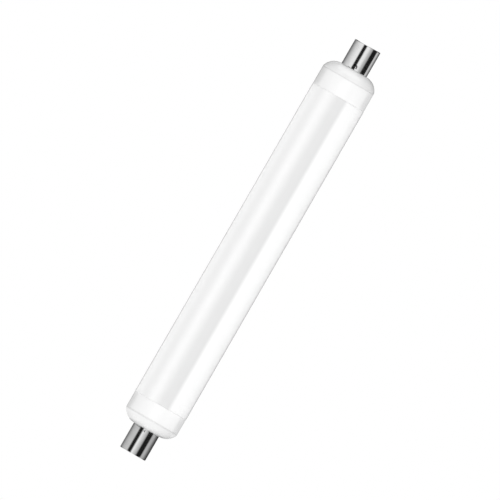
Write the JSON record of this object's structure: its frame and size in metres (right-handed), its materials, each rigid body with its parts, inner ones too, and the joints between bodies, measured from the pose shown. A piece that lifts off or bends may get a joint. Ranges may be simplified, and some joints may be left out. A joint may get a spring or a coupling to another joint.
{
  "type": "tubular light bulb",
  "caption": "Double-ended tubular lamp: an opal white tube with a domed white collar and a plain metal contact cap at each end.",
  "frame": {"origin": "middle of the lower contact cap's flat end face, on which the lamp stands", "axes": "+Z along the lamp towards its upper contact cap; -Y is the lamp's front"},
  "size_m": [0.0386, 0.0386, 0.31],
  "materials": {
    "opal_envelope": "opal white, smooth and glossy",
    "collar_plastic": "white moulded plastic, satin",
    "cap_metal": "bright nickel plate on drawn brass sheet",
    "solder": "dull tin solder"
  },
  "bodies": {
    "root": {"opal_tube": "opal_envelope", "upper_collar": "collar_plastic", "lower_collar": "collar_plastic", "upper_contact_cap": "cap_metal", "lower_contact_cap": "cap_metal", "upper_solder_point": "solder", "lower_solder_point": "solder"}
  },
  "joints": []
}
